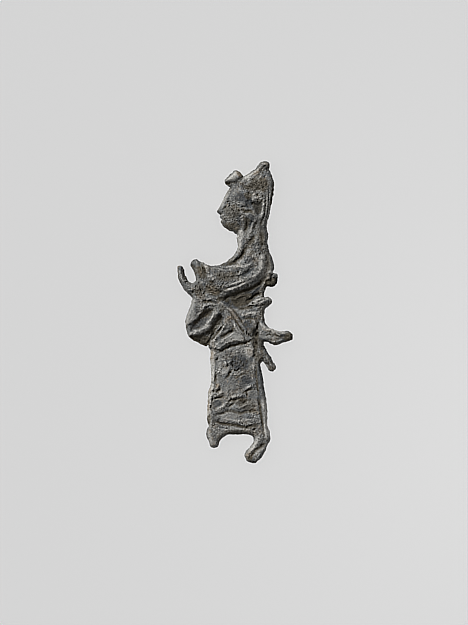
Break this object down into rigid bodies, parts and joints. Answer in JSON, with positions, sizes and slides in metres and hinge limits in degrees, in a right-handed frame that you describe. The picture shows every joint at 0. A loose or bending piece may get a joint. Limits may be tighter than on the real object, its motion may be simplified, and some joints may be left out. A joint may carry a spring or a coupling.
{
  "type": "lead athena figurine",
  "caption": "Flat one-piece cast lead votive figure of an armed figure in profile, relief in front and plain behind, with worn crest, shield, spear and broken feet.",
  "frame": {"origin": "centre of the casting's outline box, on the plane of its flat back, which it lies on", "axes": "+Y towards the crest, +Z out of the relief, +X to the right as the relief is seen"},
  "size_m": [0.0192, 0.05, 0.0024],
  "materials": {
    "lead": "dull weathered lead, grey with brown earth in the hollows"
  },
  "bodies": {
    "root": {"figurine": "lead"}
  },
  "joints": []
}
